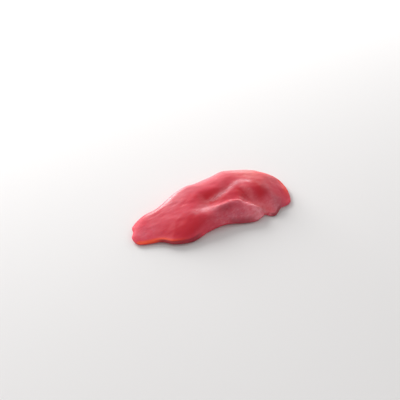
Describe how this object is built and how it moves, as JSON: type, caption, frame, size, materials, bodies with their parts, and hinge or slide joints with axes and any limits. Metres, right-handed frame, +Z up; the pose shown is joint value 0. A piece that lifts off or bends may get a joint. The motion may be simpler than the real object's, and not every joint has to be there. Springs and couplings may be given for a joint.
{
  "type": "raw pheasant breast fillet",
  "caption": "Raw skinless pheasant breast fillet: a boneless piece of pink muscle with a thin tip, a broad round end and a rolled fold along one side, lying flat.",
  "frame": {"origin": "on the resting plane, under the centre of the fillet's bounding box", "axes": "+X along the length from the thin tip to the broad round end, +Y from the side with the rolled fold to the plain side, +Z up from the resting face"},
  "size_m": [0.1736, 0.0782, 0.0187],
  "materials": {
    "raw_meat": "moist satin"
  },
  "bodies": {
    "root": {"fillet": "raw_meat"}
  },
  "joints": []
}
